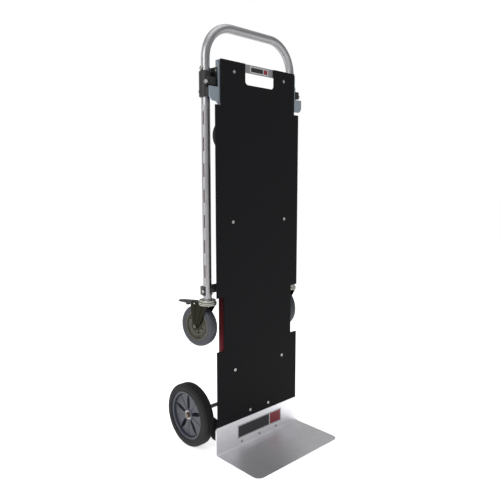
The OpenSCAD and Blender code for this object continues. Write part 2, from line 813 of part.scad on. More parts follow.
// Places a caster wheel that is drawn about the Z axis, centred on its width
module at_caster_wheel(s) {
    at_caster(s) translate([0, caster_trail, caster_z]) rotate([0, 90, 0]) children();
}

module caster_core(s) {
    core_r = caster_r - tread_t;
    hub_half = fork_in - gap;
    color([0.52, 0.51, 0.45]) at_caster_wheel(s) rotate_extrude($fn = 72) difference() {
        union() {
            translate([caster_axle_r + run, -hub_half])
                square([15, 2 * hub_half]);
            translate([caster_axle_r + 10, -7]) square([core_r - caster_axle_r - 12, 14]);
            translate([core_r - 8, 1 - caster_w / 2]) square([8, caster_w - 2]);
        }
        for (m = [0, 1]) mirror([0, m]) translate([38, 13]) circle(r = 9);
    }
}

module caster_tread(s) {
    core_r = caster_r - tread_t;
    color([0.27, 0.28, 0.32]) at_caster_wheel(s) rotate_extrude($fn = 96) intersection() {
        translate([core_r - 20, -caster_w / 2]) round_rect(tread_t + 20, caster_w, 9);
        translate([core_r, -caster_w / 2]) square([tread_t, caster_w]);
    }
}

module brake_pedal(s) {
    arm = fork_in - 2;
    color([0.1, 0.1, 0.11]) at_caster(s) difference() {
        union() {
            rod_x(6, -arm, arm, pedal_y, pedal_z);
            box(-arm, arm, pedal_y, pedal_y + 22, pedal_z - 3, pedal_z + 2);
            box(-arm, arm, pedal_y + 38, pedal_y + 50, pedal_z - 11, pedal_z - 2);
            hull() {
                box(-20, 20, pedal_y + 20, pedal_y + 24, pedal_z - 5, pedal_z + 3);
                translate([0, pedal_y + 84, pedal_z - 5]) cylinder(r = 16, h = 4, $fn = 32);
            }
        }
        rod_x(pedal_pin_r + run, -arm - over, arm + over, pedal_y, pedal_z);
    }
}

module brake_pin(s) {
    color([0.7, 0.7, 0.7]) at_caster(s)
        rod_x(pedal_pin_r, -fork_out - 1, fork_out + 1, pedal_y, pedal_z);
}

rail(LEFT);  // left_rail
rail(RIGHT);  // right_rail
top_crossbar();
crossmember(upper_bar_z, DECK_SCREWS[1][0]);  // upper_crossmember
crossmember(lower_bar_z, DECK_SCREWS[2][0]);  // lower_crossmember
foot_crossmember();
deck_panel();
deck_screws();
nose_plate();
nose_bolts();
nose_decal();
grip_decal();
rail_decals();
rest_bumpers();
axle_bracket(LEFT);  // left_axle_bracket
axle_bracket(RIGHT);  // right_axle_bracket
axle_bracket_bolts();
axle();
axle_spacers();
axle_nuts();
pivot_bracket(LEFT);  // left_pivot_bracket
pivot_bracket(RIGHT);  // right_pivot_bracket
pivot_casting(LEFT);  // left_pivot_casting
pivot_casting(RIGHT);  // right_pivot_casting
casting_bolts();
pivot_pins();
tyre(LEFT);  // left_tyre
hub(LEFT);  // left_hub
wheel_bearings(LEFT);  // left_wheel_bearings
tyre(RIGHT);  // right_tyre
hub(RIGHT);  // right_hub
wheel_bearings(RIGHT);  // right_wheel_bearings
sleeve(LEFT);  // left_sleeve
sleeve(RIGHT);  // right_sleeve
latch_springs();
latch_pin(LEFT);  // left_latch_pin
latch_pin(RIGHT);  // right_latch_pin
tube_plunger(LEFT);  // left_tube_plunger
tube_plunger(RIGHT);  // right_tube_plunger
handle_tube();
leg_strips();
stop_bolts();
brace_bar();
brace_saddles();
brace_bolts();
caster_mount(LEFT);  // left_caster_mount
caster_mount(RIGHT);  // right_caster_mount
caster_fork(LEFT);  // left_caster_fork
caster_axle(LEFT);  // left_caster_axle
caster_core(LEFT);  // left_caster_core
caster_tread(LEFT);  // left_caster_tread
brake_pedal(LEFT);  // left_brake_pedal
brake_pin(LEFT);  // left_brake_pin
caster_fork(RIGHT);  // right_caster_fork
caster_axle(RIGHT);  // right_caster_axle
caster_core(RIGHT);  // right_caster_core
caster_tread(RIGHT);  // right_caster_tread
brake_pedal(RIGHT);  // right_brake_pedal
brake_pin(RIGHT);  // right_brake_pin
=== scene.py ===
import json
import math

import bpy
from bpy.props import FloatProperty, FloatVectorProperty, PointerProperty
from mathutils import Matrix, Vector


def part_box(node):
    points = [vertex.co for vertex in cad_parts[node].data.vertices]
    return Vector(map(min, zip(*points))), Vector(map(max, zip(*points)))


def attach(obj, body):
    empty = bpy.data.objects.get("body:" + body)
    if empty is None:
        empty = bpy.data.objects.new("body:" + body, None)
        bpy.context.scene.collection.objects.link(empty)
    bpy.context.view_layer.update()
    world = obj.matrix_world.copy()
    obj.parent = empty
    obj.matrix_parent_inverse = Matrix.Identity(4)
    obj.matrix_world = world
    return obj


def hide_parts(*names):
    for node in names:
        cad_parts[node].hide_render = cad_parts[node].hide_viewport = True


bl_info = {
    "name": "Convertible Hand Truck",
    "version": (1, 0, 0),
    "blender": (4, 5, 0),
    "location": "View3D > Sidebar > Hand Truck",
    "description": "Builds the finished look of a convertible hand truck around its CAD frame",
    "category": "Object",
}

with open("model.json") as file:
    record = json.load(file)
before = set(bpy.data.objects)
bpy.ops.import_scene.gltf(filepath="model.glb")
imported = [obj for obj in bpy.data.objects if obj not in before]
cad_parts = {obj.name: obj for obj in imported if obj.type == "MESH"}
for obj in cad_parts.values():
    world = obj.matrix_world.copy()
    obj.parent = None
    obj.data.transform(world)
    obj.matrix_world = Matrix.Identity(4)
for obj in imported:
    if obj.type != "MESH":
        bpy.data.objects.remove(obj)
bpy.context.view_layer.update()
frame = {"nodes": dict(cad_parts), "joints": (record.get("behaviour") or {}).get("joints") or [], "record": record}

MM = 0.001
SIDES = ("left", "right")
FORK_HALF = 23.5 * MM     # from the middle of a caster to its fork's outer face
RAIL_SHADE_HEIGHTS = (0.42, 0.60)       # heights between which painted shade darkens the rails' red film towards the top
DASHES = 7                # dashes along a leg's strip


# ------------------------------------------------------------------ sizes and colours

class StageSettings(bpy.types.PropertyGroup):
    camera_place: FloatVectorProperty(
        name="Camera place", description="Where the camera stands", subtype="TRANSLATION",
        unit="LENGTH", default=(-1.4275, -1.476, 1.0272))
    camera_turn: FloatProperty(
        name="Camera turn", description="How far the camera looks to the right of +Y",
        subtype="ANGLE", default=math.radians(43.44))
    camera_tilt: FloatProperty(
        name="Camera tilt", description="How far the camera looks down", subtype="ANGLE",
        default=math.radians(6.97))
    lens: FloatProperty(
        name="Lens", description="Focal length in millimetres on a 36 mm sensor", default=37.5)
    floor_colour: FloatVectorProperty(
        name="Floor", description="Colour of the floor", subtype="COLOR",
        default=(0.94, 0.94, 0.94))
    glow: FloatProperty(
        name="Glow", description="Light that the lit floor gives off", default=0.665)
    surround: FloatProperty(
        name="Surround", description="Strength of the light from all round", default=0.36)


class FinishSettings(bpy.types.PropertyGroup):
    deck_black: FloatVectorProperty(
        name="Deck", description="Colour of the deck panel", subtype="COLOR",
        default=(0.0048, 0.0050, 0.0060))
    aluminium: FloatVectorProperty(
        name="Aluminium", description="Colour of the bare aluminium", subtype="COLOR",
        default=(0.42, 0.42, 0.435))
    # partly painted reflection: the pivot brackets' grey is their aluminium, and their blue tint stands in for a
    # reflection
    bracket_grey_and_blue_reflection: FloatVectorProperty(
        name="Pivot brackets", description="Colour of the pivot brackets", subtype="COLOR",
        default=(0.40, 0.46, 0.52))
    tyre_black: FloatVectorProperty(
        name="Tyres", description="Colour of the main tyres", subtype="COLOR",
        default=(0.0060, 0.0060, 0.0072))
    hub_grey: FloatVectorProperty(
        name="Hubs", description="Colour of the main hubs", subtype="COLOR",
        default=(0.048, 0.052, 0.068))
    fork_olive: FloatVectorProperty(
        name="Forks", description="Colour of the casters' forks", subtype="COLOR",
        default=(0.026, 0.025, 0.018))
    core_grey: FloatVectorProperty(
        name="Caster cores", description="Colour of the caster wheels' cores",
        subtype="COLOR", default=(0.060, 0.058, 0.043))
    tread_grey: FloatVectorProperty(
        name="Caster treads", description="Colour of the caster wheels' treads",
        subtype="COLOR", default=(0.042, 0.046, 0.058))
    decal_red: FloatVectorProperty(
        name="Decal red", description="Colour of the red bars and strips",
        subtype="COLOR", default=(0.20, 0.012, 0.020))


# ------------------------------------------------------------------ shader writing

class Wire:
    """A shader value that Python arithmetic adds Math nodes to."""

    def __init__(self, paint, socket):
        self.paint = paint
        self.socket = socket

    def _math(self, operation, *values):
        return self.paint.node("ShaderNodeMath", {"operation": operation}, values)

    def __add__(self, other):
        return self._math("ADD", self, other)

    def __radd__(self, other):
        return self._math("ADD", other, self)

    def __sub__(self, other):
        return self._math("SUBTRACT", self, other)

    def __rsub__(self, other):
        return self._math("SUBTRACT", other, self)

    def __mul__(self, other):
        return self._math("MULTIPLY", self, other)

    def __gt__(self, other):
        return self._math("GREATER_THAN", self, other)

    def __lt__(self, other):
        return self._math("LESS_THAN", self, other)

    def __abs__(self):
        return self._math("ABSOLUTE", self)

    def repeat(self, length):
        """The distance into the present repeat of a pattern of that length."""
        return self._math("FLOORED_MODULO", self, length)

    def ramp(self, low, high):
        """0 below low, 1 above high, and even in between."""
        return self.paint.node("ShaderNodeMapRange", {"clamp": True},
                               {"Value": self, "From Min": low, "From Max": high})


class Paint:
    """A node material with one Principled shader."""

    def __init__(self, name):
        self.material = bpy.data.materials.new(name)
        self.material.use_nodes = True
        self.tree = self.material.node_tree
        self.shader = self.tree.nodes["Principled BSDF"]
        self.place = self.node("ShaderNodeTexCoord", output="Object")

    def node(self, kind, settings=None, inputs=None, output=0):
        """Adds a node; inputs is a dict by socket name or a list in order."""
        made = self.tree.nodes.new(kind)
        for key, value in (settings or {}).items():
            setattr(made, key, value)
        pairs = inputs.items() if isinstance(inputs, dict) else enumerate(inputs or [])
        for key, value in pairs:
            self.plug(made.inputs[key], value)
        return Wire(self, made.outputs[output])

    def plug(self, socket, value):
        if isinstance(value, Wire):
            self.tree.links.new(value.socket, socket)
        elif value is not None:
            if hasattr(socket.default_value, "__len__") and len(value) == 3:
                full = len(socket.default_value)
                value = (*value, 1.0) if full == 4 else value
            socket.default_value = value

    def set(self, **values):
        """Sets the shader's sockets, named with _ for each space."""
        for key, value in values.items():
            self.plug(self.shader.inputs[key.replace("_", " ")], value)
        return self

    def stretched(self, scale):
        """Object coordinates multiplied by a number for each axis."""
        return self.node("ShaderNodeVectorMath", {"operation": "MULTIPLY"},
                         [self.place, scale])

    def noise(self, scale, detail=2.0, rough=0.5, place=None):
        return self.node("ShaderNodeTexNoise", None, {
            "Vector": place or self.place, "Scale": scale, "Detail": detail,
            "Roughness": rough})

    def voronoi(self, scale, place=None):
        return self.node("ShaderNodeTexVoronoi", None,
                         {"Vector": place or self.place, "Scale": scale})

    def axis(self, name):
        return self.node("ShaderNodeSeparateXYZ", None, [self.place], name)

    def mix(self, factor, first, second):
        """A colour between first, at factor 0, and second, at factor 1."""
        made = self.tree.nodes.new("ShaderNodeMix")
        made.data_type = "RGBA"
        for socket, value in zip((made.inputs[0], made.inputs[6], made.inputs[7]),
                                 (factor, first, second)):
            self.plug(socket, value)
        return Wire(self, made.outputs[2])

    def bump(self, height, distance, strength=1.0):
        normal = self.node("ShaderNodeBump", None, {
            "Height": height, "Distance": distance, "Strength": strength})
        return self.set(Normal=normal)


def shade(colour, amount):
    """A colour made lighter or darker by a factor."""
    return tuple(min(1.0, part * amount) for part in colour)


def metal(name, colour, rough, grain, edge=0.10):
    """Bare metal whose fine streaks run along the axis in grain that has a low number."""
    paint = Paint(name)
    streaks = paint.noise(1.0, 4.0, 0.6, paint.stretched(grain))
    blotches = paint.noise(9.0, 3.0, 0.55)
    handled = paint.noise(2.3, 2.0, 0.5)
    tone = paint.mix(streaks, shade(colour, 1 - edge), shade(colour, 1 + edge))
    tone = paint.mix(blotches.ramp(0.45, 0.75) * 0.35, tone, shade(colour, 0.78))
    paint.set(Base_Color=tone, Metallic=1.0,
              Roughness=rough + (streaks - 0.5) * 0.16 + (handled - 0.5) * 0.14)
    return paint.bump(streaks, 0.00006, 0.5)


def plated(name, colour, rough=0.32):
    """Zinc plate: bright, a little cloudy, with a faint warm and cool play."""
    paint = Paint(name)
    cloud = paint.noise(140.0, 3.0, 0.6)
    play = paint.noise(38.0, 2.0, 0.5)
    cool = tuple(c * f for c, f in zip(colour, (0.90, 0.97, 1.08)))
    warm = tuple(c * f for c, f in zip(colour, (1.10, 1.02, 0.82)))
    paint.set(Base_Color=paint.mix(cloud * 0.4, paint.mix(play, cool, warm), shade(colour, 0.6)),
              Metallic=1.0, Roughness=rough + (cloud - 0.5) * 0.25)
    return paint.bump(cloud, 0.00004, 0.4)


def coated(name, colour, rough=0.42, peel=420.0, wear=0.05):
    """Painted or powder-coated metal, with orange peel and a few pale rubs."""
    paint = Paint(name)
    skin = paint.noise(peel, 2.0, 0.5)
    rubs = paint.noise(60.0, 5.0, 0.7).ramp(0.66, 0.80) * wear
    dust = paint.noise(6.0, 3.0, 0.6)
    tone = paint.mix(dust.ramp(0.4, 0.8) * 0.25, colour, tuple(c + 0.012 for c in colour))
    tone = paint.mix(rubs, tone, (0.25, 0.25, 0.25))
    paint.set(Base_Color=tone, Roughness=rough + (dust - 0.5) * 0.18 + (skin - 0.5) * 0.08)
    return paint.bump(skin, 0.00012, 0.35)


def rubber(name, colour, rough=0.72, dust=0.30):
    """Rubber with a fine moulded grain and a little pale dust."""
    paint = Paint(name)
    grain = paint.noise(900.0, 2.0, 0.6)
    dusty = paint.noise(14.0, 4.0, 0.65).ramp(0.42, 0.78)
    tone = paint.mix(dusty * dust, colour, tuple(c * 0.8 + 0.022 for c in colour))
    paint.set(Base_Color=tone, Roughness=rough + (dusty - 0.4) * 0.14,
              Specular_IOR_Level=0.35)
    return paint.bump(grain, 0.0001, 0.35)


def moulded(name, colour, rough=0.46):
    """Moulded plastic with a fine spark grain, scuffed a little."""
    paint = Paint(name)
    grain = paint.noise(1300.0, 1.0, 0.5)
    flow = paint.noise(17.0, 4.0, 0.6)
    scuffs = paint.noise(90.0, 6.0, 0.75).ramp(0.64, 0.78) * 0.18
    tone = paint.mix(flow, shade(colour, 0.82), shade(colour, 1.18))
    tone = paint.mix(scuffs, tone, tuple(c + 0.10 for c in colour))
    paint.set(Base_Color=tone, Roughness=rough + (flow - 0.5) * 0.2)
    return paint.bump(grain, 0.00008, 0.3)


def deck_paint(colour):
    """The deck's black sheet: a pebbled skin with fine specks and faint long scuffs."""
    paint = Paint("deck_sheet")
    pebbles = paint.voronoi(620.0)
    fine = paint.noise(1500.0, 2.0, 0.6)
    cloud = paint.noise(5.0, 4.0, 0.6)
    scuffs = paint.noise(1.0, 5.0, 0.7, paint.stretched((14.0, 14.0, 160.0)))
    scuffs = scuffs.ramp(0.63, 0.80) * 0.20
    tone = paint.mix(cloud, shade(colour, 0.80), shade(colour, 1.22))
    tone = paint.mix(fine.ramp(0.60, 0.75) * 0.35, tone, tuple(c + 0.03 for c in colour))
    tone = paint.mix(scuffs, tone, tuple(c + 0.035 for c in colour))
    paint.set(Base_Color=tone, Roughness=0.70 + (cloud - 0.5) * 0.16 + scuffs * 0.3,
              Specular_IOR_Level=0.12)
    return paint.bump(pebbles * 0.6 + fine * 0.4, 0.00018, 0.5)


def plain_decal(name, ground, bars, rough=0.3):
    """A printed film with plain bars: each bar is (axis, low, high, colour)."""
    paint = Paint(name)
    wear = paint.noise(160.0, 4.0, 0.7)
    tone = ground
    for limits, colour in bars:
        inside = 1.0
        for axis_name, low, high in limits:
            along = paint.axis(axis_name)
            inside = (along > low) * (along < high) * inside
        tone = paint.mix(inside, tone, colour)
    tone = paint.mix(wear.ramp(0.62, 0.80) * 0.25, tone, (0.35, 0.35, 0.36))
    paint.set(Base_Color=tone, Roughness=rough + (wear - 0.5) * 0.2, Coat_Weight=0.2)
    return paint.bump(wear, 0.00003, 0.3)


def filmed_rail(name, aluminium, red):
    """The rails' satin aluminium, whose outer side wears a wrapped plain red film, made darker towards the top
    with painted shade.
    """
    paint = metal(name, aluminium, 0.40, (260, 260, 5))
    side = place("right_rail")[1].x - 5 * MM
    low, high, middle = place("rail_decals")
    height = paint.axis("Z")
    film = (abs(paint.axis("X")) > side) * (height > low.z) * (height < high.z)
    bare = Wire(paint, paint.shader.inputs["Base Color"].links[0].from_socket)
    satin = Wire(paint, paint.shader.inputs["Roughness"].links[0].from_socket)
    # painted shade: the red film grows darker between the two heights, standing in for shadow on the upper rail
    tone = paint.mix(height.ramp(*RAIL_SHADE_HEIGHTS), shade(red, 0.30), shade(red, 0.06))
    return paint.set(Base_Color=paint.mix(film, bare, tone), Metallic=1 - film,
                     Roughness=satin + film * 0.30, Specular_IOR_Level=0.1)


def decal_with_painted_shade(name, colour, low, high):
    """A plain film that is darker from the height low up to the height high, as painted shade."""
    paint = Paint(name)
    wear = paint.noise(130.0, 4.0, 0.7)
    # painted shade: the colour darkens upwards between low and high
    tone = paint.mix(paint.axis("Z").ramp(low, high), colour, shade(colour, 0.35))
    tone = paint.mix(wear.ramp(0.60, 0.80) * 0.3, tone, (0.10, 0.09, 0.09))
    paint.set(Base_Color=tone, Roughness=0.55 + (wear - 0.5) * 0.2, Specular_IOR_Level=0.1)
    return paint.bump(wear, 0.00003, 0.3)


def strip_paint(low, high):
    """The legs' strips: pale film with a plain dash at each even step and a dark rim."""
    paint = Paint("leg_strip")
    step = (high - low) / DASHES
    height = paint.axis("Z")
    depth = paint.axis("Y")
    into = (height - (low + step * 0.25)).repeat(step)
    dash = (into < step * 0.52) * (abs(depth - strip_middle()) < 2.4 * MM)
    rim = abs(depth - strip_middle()) > 4.9 * MM
    wear = paint.noise(220.0, 4.0, 0.7)
    tone = paint.mix(dash, (0.36, 0.36, 0.38), (0.04, 0.022, 0.026))
    tone = paint.mix(rim, tone, (0.16, 0.07, 0.075))
    tone = paint.mix(wear.ramp(0.55, 0.8) * 0.4, tone, (0.40, 0.40, 0.42))
    paint.set(Base_Color=tone, Roughness=0.34 + (wear - 0.5) * 0.2)
    return paint.bump(wear, 0.00003, 0.3)


def strip_middle():
    """The Y of the strips' middle line."""
    low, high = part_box("leg_strips")
    return (low[1] + high[1]) / 2


# ------------------------------------------------------------------ modelling helpers

def deselect():
    if bpy.context.object and bpy.context.object.mode != "OBJECT":
        bpy.ops.object.mode_set(mode="OBJECT")
    bpy.ops.object.select_all(action="DESELECT")


def activate(obj):
    deselect()
    obj.select_set(True)
    bpy.context.view_layer.objects.active = obj


def dress(obj, paint):
    """Gives an object that one material."""
    obj.data.materials.clear()
    obj.data.materials.append(paint.material)


def place(name):
    """Lowest corner, highest corner and middle of a CAD node, as vectors."""
    low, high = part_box(name)
    low, high = Vector(low), Vector(high)
    return low, high, (low + high) / 2


def chain(name, points):
    """A new object with one line of edges through the points, left in edit mode."""
    deselect()
    bpy.ops.mesh.primitive_plane_add(size=MM, location=points[0])
    made = bpy.context.object
    made.name = name
    bpy.ops.object.transform_apply(location=True, rotation=True, scale=True)
    bpy.ops.object.mode_set(mode="EDIT")
    bpy.ops.mesh.select_all(action="SELECT")
    bpy.ops.mesh.merge(type="CENTER")
    for here, there in zip(points, points[1:]):
        bpy.ops.mesh.extrude_region_move(TRANSFORM_OT_translate={
            "value": Vector(there) - Vector(here), "orient_type": "GLOBAL"})
    bpy.ops.mesh.select_all(action="SELECT")
    bpy.ops.mesh.remove_doubles(threshold=1e-6)
    return made


def close_up(smooth=math.radians(35)):
    """Leaves edit mode with the faces outwards and smooth below that angle."""
    bpy.ops.mesh.select_all(action="SELECT")
    bpy.ops.mesh.remove_doubles(threshold=1e-6)
    bpy.ops.mesh.normals_make_consistent(inside=False)
    bpy.ops.object.mode_set(mode="OBJECT")
    bpy.ops.object.shade_smooth_by_angle(angle=smooth)


def lathe(name, profile, middle, steps=96):
    """Spins a closed profile of (x, radius) about the X axis through middle."""
    points = [(middle[0] + x, middle[1], middle[2] + radius) for x, radius in profile]
    made = chain(name, [*points, points[0]])
    bpy.ops.mesh.spin(steps=steps, angle=math.tau, center=middle, axis=(1, 0, 0))
    close_up()
    return made


def arc(x, radius, size, start, end, steps=5):
    """Profile points on an arc about (x, radius), from start to end degrees."""
    turns = [math.radians(start + (end - start) * i / steps) for i in range(steps + 1)]
    return [(x + size * math.cos(a), radius + size * math.sin(a)) for a in turns]


def plate(name, outline, thickness, bevel):
    """A plate of an outline of (y, z) at x = 0, as thick along +X, with rounded edges."""
    points = [(0, y, z) for y, z in outline]
    made = chain(name, [*points, points[0]])
    bpy.ops.mesh.select_all(action="SELECT")
    bpy.ops.mesh.edge_face_add()
    bpy.ops.mesh.extrude_region_move(TRANSFORM_OT_translate={
        "value": (thickness, 0, 0), "orient_type": "GLOBAL"})
    close_up()
    soften(made, bevel)
    return made


def soften(obj, width, segments=2, angle=32):
    """Rounds the edges sharper than the angle and smooths the rest."""
    activate(obj)
    rounding = obj.modifiers.new("rounding", "BEVEL")
    rounding.width = width
    rounding.segments = segments
    rounding.limit_method = "ANGLE"
    rounding.angle_limit = math.radians(angle)
    bpy.ops.object.modifier_apply(modifier=rounding.name)
    bpy.ops.object.shade_smooth_by_angle(angle=math.radians(40))
    weights = obj.modifiers.new("weights", "WEIGHTED_NORMAL")
    weights.keep_sharp = True
    bpy.ops.object.modifier_apply(modifier=weights.name)


def join(*objects):
    """Makes one object of them, which keeps the first one's name."""
    activate(objects[0])
    for obj in objects[1:]:
        obj.select_set(True)
    bpy.ops.object.join()
    return bpy.context.object


def settle(obj, spot=(0, 0, 0), turn=(0, 0, 0)):
    """Moves and turns an object, and leaves its own origin where the world's is."""
    activate(obj)
    obj.location = spot
    obj.rotation_euler = turn
    bpy.ops.object.transform_apply(location=True, rotation=True, scale=True)
    return obj


def twin(obj, name):
    """A copy with its own mesh."""
    activate(obj)
    bpy.ops.object.duplicate()
    made = bpy.context.object
    made.name = name
    return made


def mirrored(obj, name):
    """A copy on the other side of X = 0."""
    made = twin(obj, name)
    bpy.ops.object.mode_set(mode="EDIT")
    bpy.ops.mesh.select_all(action="SELECT")
    bpy.ops.transform.mirror(constraint_axis=(True, False, False), orient_type="GLOBAL",
                             center_override=(0, 0, 0))
    bpy.ops.mesh.normals_make_consistent(inside=False)
    bpy.ops.object.mode_set(mode="OBJECT")
    return made


def install(obj, body, nodes, paint):
    """Paints a finished piece, ties it to its body and hides the CAD nodes it stands for."""
    dress(obj, paint)
    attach(obj, body)
    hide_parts(*nodes)


def refined(node, width, segments=2, angle=32):
    """A copy of a CAD node's mesh whose sharp edges are rounded."""
    deselect()
    source = frame["nodes"][node]
    source.select_set(True)
    bpy.context.view_layer.objects.active = source
    bpy.ops.object.duplicate()
    made = bpy.context.object
    made.name = node + "_finish"
    for key in list(made.keys()):
        if key.startswith("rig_"):
            del made[key]
    made.parent = None
    activate(made)
    bpy.ops.object.mode_set(mode="EDIT")
    bpy.ops.mesh.select_all(action="SELECT")
    bpy.ops.mesh.remove_doubles(threshold=2e-6)
    bpy.ops.mesh.dissolve_limited(angle_limit=math.radians(2))
    bpy.ops.mesh.normals_make_consistent(inside=False)
    bpy.ops.object.mode_set(mode="OBJECT")
    soften(made, width, segments, angle)
    return made


def paint_node(paint, *names):
    """Keeps CAD nodes' own meshes and gives them a better material."""
    for name in names:
        dress(frame["nodes"][name], paint)


# ------------------------------------------------------------------ operators

class HANDTRUCK_OT_stage(bpy.types.Operator):
    """Adds the floor, the studio lights and the camera"""
    bl_idname = "handtruck.stage"
    bl_label = "Stage"

    def execute(self, context):
        settings = context.scene.handtruck_stage
        deselect()
        bpy.ops.mesh.primitive_plane_add(size=60.0, location=(0, 0, 0))
        floor = context.object
        floor.name = "floor"
        paint = Paint("studio_floor")
        cloud = paint.noise(1.5, 2.0, 0.5)
        tone = tuple(settings.floor_colour)
        paint.set(Base_Color=paint.mix(cloud, shade(tone, 0.99), tone), Roughness=0.85,
                  Specular_IOR_Level=0.1, Emission_Color=(1, 1, 1),
                  Emission_Strength=settings.glow)
        dress(floor, paint)
        world = bpy.data.worlds.new("studio")
        world.use_nodes = True
        tree = world.node_tree
        light = tree.nodes["Background"]
        light.inputs["Strength"].default_value = settings.surround
        seen = tree.nodes.new("ShaderNodeBackground")
        seen.inputs["Color"].default_value = (1, 1, 1, 1)
        path = tree.nodes.new("ShaderNodeLightPath")
        choice = tree.nodes.new("ShaderNodeMixShader")
        tree.links.new(path.outputs["Is Camera Ray"], choice.inputs[0])
        tree.links.new(light.outputs[0], choice.inputs[1])
        tree.links.new(seen.outputs[0], choice.inputs[2])
        tree.links.new(choice.outputs[0], tree.nodes["World Output"].inputs[0])
        light.inputs["Color"].default_value = (1, 1, 1, 1)
        context.scene.world = world
        soft_lights = (
            ("key", (-3.2, -0.6, 2.4), 2.2, 56), ("top", (0.0, -0.4, 4.2), 3.4, 52),
            ("rim", (-1.0, 3.2, 2.6), 2.0, 20),
        )
        for name, spot, size, power in soft_lights:
            bpy.ops.object.light_add(type="AREA", location=spot)
            lamp = context.object
            lamp.name = f"{name}_light"
            lamp.data.shape = "SQUARE"
            lamp.data.size = size
            lamp.data.energy = power
            aim = Vector((0, 0, 0.7)) - Vector(spot)
            lamp.rotation_euler = aim.to_track_quat("-Z", "Y").to_euler()
        bpy.ops.object.camera_add(
            location=settings.camera_place,
            rotation=(math.pi / 2 - settings.camera_tilt, 0, -settings.camera_turn))
        camera = context.object
        camera.name = "camera"
        camera.data.sensor_width = 36.0
        camera.data.lens = settings.lens
        context.scene.camera = camera
        context.scene.view_settings.view_transform = "Standard"
        return {"FINISHED"}


def body_of(node):
    """The body that holds a CAD node."""
    groups = frame["record"]["behaviour"]["bodies"]
    return next(body for body, members in groups.items() if node in members)


def refine_all(paint, width, names, angle=32):
    """Gives CAD nodes rounded edges and one material."""
    for name in names:
        install(refined(name, width, angle=angle), body_of(name), [name], paint)


def both(name):
    """The names of a left and a right part."""
    return [f"{side}_{name}" for side in SIDES]


class HANDTRUCK_OT_frame(bpy.types.Operator):
    """Finishes the rails, the bars, the deck and the nose plate"""
    bl_idname = "handtruck.frame"
    bl_label = "Frame and deck"

    def execute(self, context):
        look = context.scene.handtruck_finish
        aluminium = tuple(look.aluminium)
        upright = filmed_rail("rail_aluminium", shade(aluminium, 0.85), tuple(look.decal_red))
        across = metal("bar_aluminium", aluminium, 0.40, (5, 260, 260))
        refine_all(upright, 0.5 * MM, both("rail"))
        refine_all(across, 0.5 * MM,
                   ["top_crossbar", "upper_crossmember", "lower_crossmember",
                    "foot_crossmember"])
        # painted light: the nose plate is a copy of the aluminium brightened 2.1 times, standing in for light from
        # above
        refine_all(metal("nose_aluminium", shade(aluminium, 2.1), 0.44, (4, 420, 420), 0.10),
                   0.9 * MM, ["nose_plate"])
        refine_all(deck_paint(tuple(look.deck_black)), 0.9 * MM,
                   ["deck_panel"])
        paint_node(rubber("bumper_rubber", (0.012, 0.012, 0.012)), "rest_bumpers")
        return {"FINISHED"}


class HANDTRUCK_OT_pivots(bpy.types.Operator):
    """Finishes the pivots, their sleeves and the axle's brackets"""
    bl_idname = "handtruck.pivots"
    bl_label = "Pivots and brackets"

    def execute(self, context):
        look = context.scene.handtruck_finish
        black = coated("black_coat", (0.010, 0.010, 0.011))
        # the brackets' blue tint is a painted reflection
        refine_all(metal("bracket_aluminium", tuple(look.bracket_grey_and_blue_reflection), 0.42,
                         (200, 200, 12)), 0.6 * MM,
                   both("pivot_bracket"))
        refine_all(black, 1.0 * MM, both("pivot_casting"))
        refine_all(black, 0.6 * MM, both("axle_bracket"))
        refine_all(coated("sleeve_coat", (0.006, 0.006, 0.006), 0.55),
                   0.8 * MM, both("sleeve"))
        refine_all(black, 0.6 * MM, ["brace_saddles"])
        paint_node(black, *both("tube_plunger"))
        return {"FINISHED"}


class HANDTRUCK_OT_handle(bpy.types.Operator):
    """Finishes the handle's tube, its brace and the truck's axle"""
    bl_idname = "handtruck.handle"
    bl_label = "Handle and axle"

    def execute(self, context):
        aluminium = tuple(context.scene.handtruck_finish.aluminium)
        paint_node(metal("tube_aluminium", shade(aluminium, 0.9), 0.40, (240, 240, 7)),
                   "handle_tube")
        steel = plated("axle_steel", (0.20, 0.20, 0.19), 0.45)
        paint_node(steel, "axle", "axle_spacers")
        refine_all(steel, 0.6 * MM, ["brace_bar"])
        paint_node(plated("ground_steel", (0.55, 0.55, 0.55), 0.25), *both("wheel_bearings"),
                   "latch_springs")
        return {"FINISHED"}


class HANDTRUCK_OT_fasteners(bpy.types.Operator):
    """Finishes the screws, bolts, nuts and pins"""
    bl_idname = "handtruck.fasteners"
    bl_label = "Fasteners"

    def execute(self, context):
        zinc = plated("zinc_screw", (0.50, 0.50, 0.49), 0.34)
        refine_all(zinc, 0.4 * MM,
                   ["deck_screws", "nose_bolts", "axle_bracket_bolts", "casting_bolts",
                    "brace_bolts", "stop_bolts", *both("latch_pin")])
        refine_all(plated("dark_zinc", (0.12, 0.12, 0.11), 0.42), 1.0 * MM,
                   both("caster_axle"))
        paint_node(zinc, "pivot_pins", *both("brake_pin"))
        refine_all(plated("nut_zinc", (0.22, 0.16, 0.155), 0.40), 0.6 * MM,
                   ["axle_nuts"])
        return {"FINISHED"}


